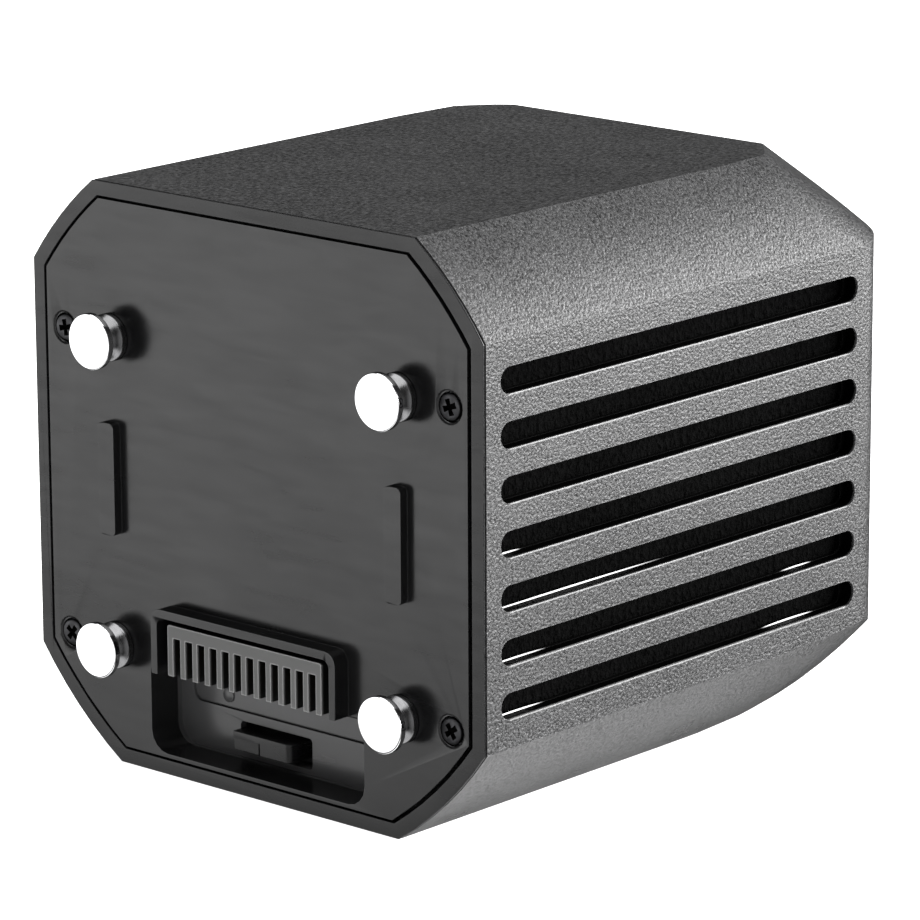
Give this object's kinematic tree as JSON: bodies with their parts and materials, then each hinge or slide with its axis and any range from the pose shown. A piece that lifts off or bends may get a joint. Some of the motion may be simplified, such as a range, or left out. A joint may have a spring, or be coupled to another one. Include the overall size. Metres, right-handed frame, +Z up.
{
  "type": "monolight mains power adapter",
  "caption": "Slide-on mains power adapter for a battery monolight: octagonal vented box with a mating plate of mushroom studs, a hooded comb connector and a rear mains inlet.",
  "frame": {"origin": "centre of the bounding box's bottom face, on the plane of the flat underside", "axes": "+Z up; the mating plate with its studs faces -Y; +X to the right for someone looking at the mating plate"},
  "size_m": [0.111, 0.1228, 0.11],
  "materials": {
    "aluminium": "extruded",
    "black_steel": "black oxide",
    "board_laminate": "solder-masked laminate",
    "body_plastic": "fine leather-grain moulding",
    "brass": "bare",
    "can_sleeve": "shrink sleeve",
    "carrier_plastic": "insulating moulding",
    "comb_plastic": "smooth grey moulding",
    "copper_winding": "enamelled winding",
    "dark_plastic": "satin moulding",
    "face_plastic": "smooth satin moulding",
    "ferrite": "sintered",
    "film_box": "moulded box",
    "lead_black": "insulated lead",
    "lead_blue": "insulated lead",
    "lead_brown": "insulated lead",
    "lead_red": "insulated lead",
    "lens_plastic": "tinted clear",
    "screen_foam": "open-cell dust foam",
    "stud_chrome": "polished",
    "zinc": "zinc plated"
  },
  "bodies": {
    "adapter": {"bezel_frame": "face_plastic", "board_carrier": "carrier_plastic", "bulk_capacitor_front": "can_sleeve", "bulk_capacitor_rear": "can_sleeve", "connector_block": "comb_plastic", "connector_board": "board_laminate", "contact_bus_negative": "brass", "contact_bus_positive": "brass", "dust_screen_left": "screen_foam", "dust_screen_right": "screen_foam", "fan_frame": "dark_plastic", "fan_lead": "lead_black", "fan_screw_1": "black_steel", "fan_screw_2": "black_steel", "fan_screw_3": "black_steel", "fan_screw_4": "black_steel", "filter_capacitor": "film_box", "heat_sink_left": "aluminium", "heat_sink_right": "aluminium", "housing_shell": "body_plastic", "inlet_body": "dark_plastic", "inlet_pin_earth": "brass", "inlet_pin_line": "brass", "inlet_pin_neutral": "brass", "inlet_screw_left": "black_steel", "inlet_screw_right": "black_steel", "latch_guide": "dark_plastic", "latch_spring": "zinc", "line_choke": "copper_winding", "main_board": "board_laminate", "mains_lead_line": "lead_brown", "mains_lead_neutral": "lead_blue", "mains_lead_switched": "lead_brown", "mating_plate": "face_plastic", "mount_stud_bottom_left": "stud_chrome", "mount_stud_bottom_right": "stud_chrome", "mount_stud_top_left": "stud_chrome", "mount_stud_top_right": "stud_chrome", "output_capacitor": "can_sleeve", "output_lead_negative": "lead_black", "output_lead_positive": "lead_red", "plate_screw_bottom_left": "black_steel", "plate_screw_bottom_right": "black_steel", "plate_screw_top_left": "black_steel", "plate_screw_top_right": "black_steel", "signal_contacts": "brass", "status_lens": "lens_plastic", "stud_nut_bottom_left": "zinc", "stud_nut_bottom_right": "zinc", "stud_nut_top_left": "zinc", "stud_nut_top_right": "zinc", "switch_frame": "dark_plastic", "transformer_core": "ferrite", "transformer_winding": "copper_winding", "vent_liner_left": "dark_plastic", "vent_liner_right": "dark_plastic"},
    "latch": {"latch_tab": "face_plastic"},
    "fan": {"fan_rotor": "dark_plastic"},
    "rocker": {"switch_rocker": "dark_plastic"}
  },
  "joints": [
    {"name": "latch_slide", "type": "slide", "parent": "adapter", "child": "latch", "axis": [0, 1, 0], "range_m": [0, 0.005], "stiffness_N_per_m": 300, "springref_m": -0.003, "deforming": ["latch_spring"]},
    {"name": "fan_spin", "type": "hinge", "parent": "adapter", "child": "fan", "pos_m": [-0.018, 0.04663, 0.069], "axis": [0, 1, 0], "continuous": true},
    {"name": "rocker_tilt", "type": "hinge", "parent": "adapter", "child": "rocker", "pos_m": [0.03, 0.05703, 0.065], "axis": [1, 0, 0], "range_deg": [-16, 0]}
  ]
}
